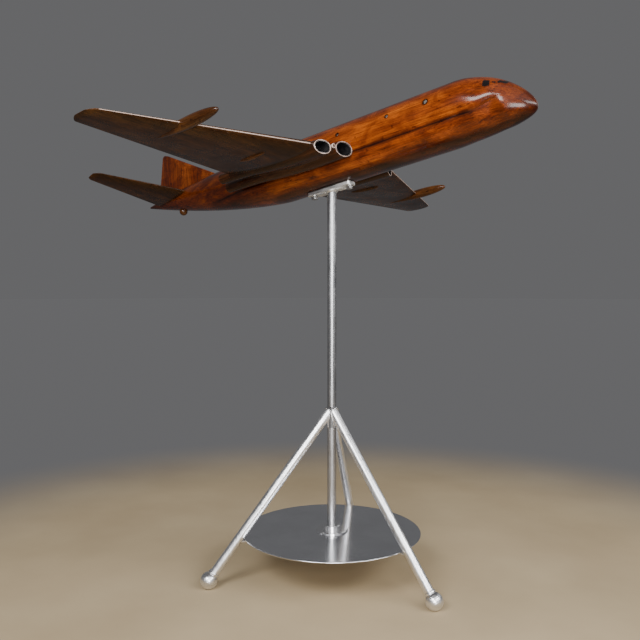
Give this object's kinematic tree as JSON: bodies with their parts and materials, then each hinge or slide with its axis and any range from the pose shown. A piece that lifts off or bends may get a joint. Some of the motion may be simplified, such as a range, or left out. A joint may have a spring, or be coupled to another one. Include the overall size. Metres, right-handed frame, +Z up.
{
  "type": "four-jet airliner display model on a swivelling tripod stand",
  "caption": "Varnished hardwood model of a swept-wing jet airliner with wing-root engines, on a mast that turns in a tubular aluminium tripod with ball feet and a round shelf.",
  "frame": {"origin": "on the floor, at the middle of the model's length and width", "axes": "+X towards the nose, +Y to the aircraft's port side, +Z up"},
  "size_m": [1.3695, 1.4327, 1.3283],
  "materials": {
    "varnished_hardwood": "high gloss varnish over streaky reddish brown hardwood",
    "plain_dowel": "unfinished",
    "black_lacquer": "gloss black lining",
    "polished_aluminium": "polished",
    "satin_aluminium": "satin, with a turned edge",
    "bright_steel": "bright",
    "brass": "plain",
    "nylon": "plain"
  },
  "bodies": {
    "stand": {"leg_front": "polished_aluminium", "leg_port": "polished_aluminium", "leg_starboard": "polished_aluminium", "foot_front": "polished_aluminium", "foot_port": "polished_aluminium", "foot_starboard": "polished_aluminium", "neck_ring_front": "polished_aluminium", "neck_ring_port": "polished_aluminium", "neck_ring_starboard": "polished_aluminium", "apex_sleeve": "polished_aluminium", "shelf_disc": "satin_aluminium", "shelf_tabs": "polished_aluminium", "hub_flange": "polished_aluminium", "hub_collar": "polished_aluminium", "thrust_washer": "nylon"},
    "mast_and_aircraft": {"mast_tube": "polished_aluminium", "mast_foot_plug": "polished_aluminium", "mast_head_weld": "polished_aluminium", "bracket_plate": "polished_aluminium", "bracket_gussets": "polished_aluminium", "packing_plate": "polished_aluminium", "bracket_bolts": "bright_steel", "bracket_washers": "bright_steel", "fuselage_inserts": "brass", "fuselage": "varnished_hardwood", "flank_screws": "bright_steel", "starboard_engine_block": "varnished_hardwood", "port_engine_block": "varnished_hardwood", "starboard_inner_intake": "black_lacquer", "starboard_outer_intake": "black_lacquer", "port_inner_intake": "black_lacquer", "port_outer_intake": "black_lacquer", "starboard_jet_pipes": "black_lacquer", "port_jet_pipes": "black_lacquer", "starboard_wing": "varnished_hardwood", "port_wing": "varnished_hardwood", "starboard_wing_pod": "varnished_hardwood", "port_wing_pod": "varnished_hardwood", "starboard_wing_fairing": "varnished_hardwood", "port_wing_fairing": "varnished_hardwood", "starboard_wing_dowels": "plain_dowel", "port_wing_dowels": "plain_dowel", "starboard_tailplane": "varnished_hardwood", "port_tailplane": "varnished_hardwood", "tailplane_dowels": "plain_dowel", "fin": "varnished_hardwood", "fin_dowels": "plain_dowel", "tail_bumper": "varnished_hardwood"}
  },
  "joints": [
    {"name": "mast_swivel", "type": "hinge", "parent": "stand", "child": "mast_and_aircraft", "pos_m": [0.095, 0, 0.3], "axis": [0, 0, 1], "continuous": true}
  ]
}
